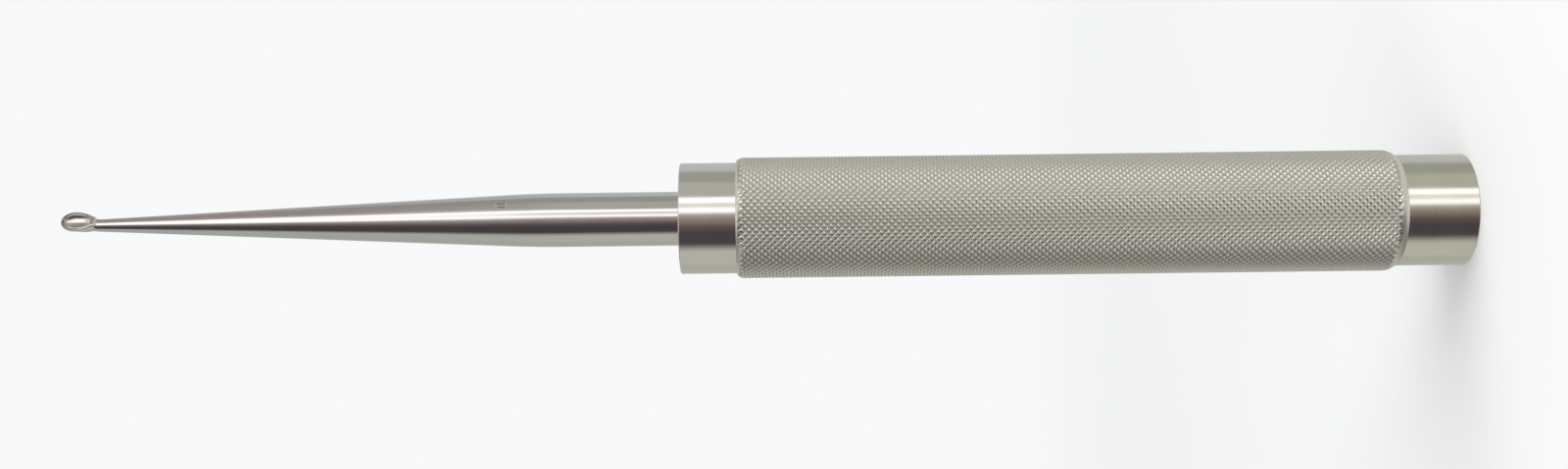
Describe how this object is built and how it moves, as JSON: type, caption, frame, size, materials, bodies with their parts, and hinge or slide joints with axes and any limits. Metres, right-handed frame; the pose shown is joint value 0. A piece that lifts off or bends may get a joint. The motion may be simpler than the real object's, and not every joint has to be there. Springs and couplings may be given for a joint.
{
  "type": "bone curette",
  "caption": "Straight surgical bone curette: a small oval cup with a sharp rim on a tapered shank, in a hollow diamond-knurled handle with smooth end collars, for scraping bone by hand",
  "frame": {"origin": "centre of the flat rear face of the end cap, on which the curette stands", "axes": "+Z along the axis from the rear face to the tip of the cup; the cup opens towards -Y; +X completes the right-handed frame"},
  "size_m": [0.0242, 0.0242, 0.28],
  "materials": {
    "collar_steel": "stainless steel, polished bright",
    "knurled_steel": "stainless steel, satin, diamond knurled",
    "shank_steel": "stainless steel, mirror polished"
  },
  "bodies": {
    "root": {"end_cap": "collar_steel", "grip_barrel": "knurled_steel", "front_collar": "collar_steel", "curette_shank": "shank_steel"}
  },
  "joints": []
}
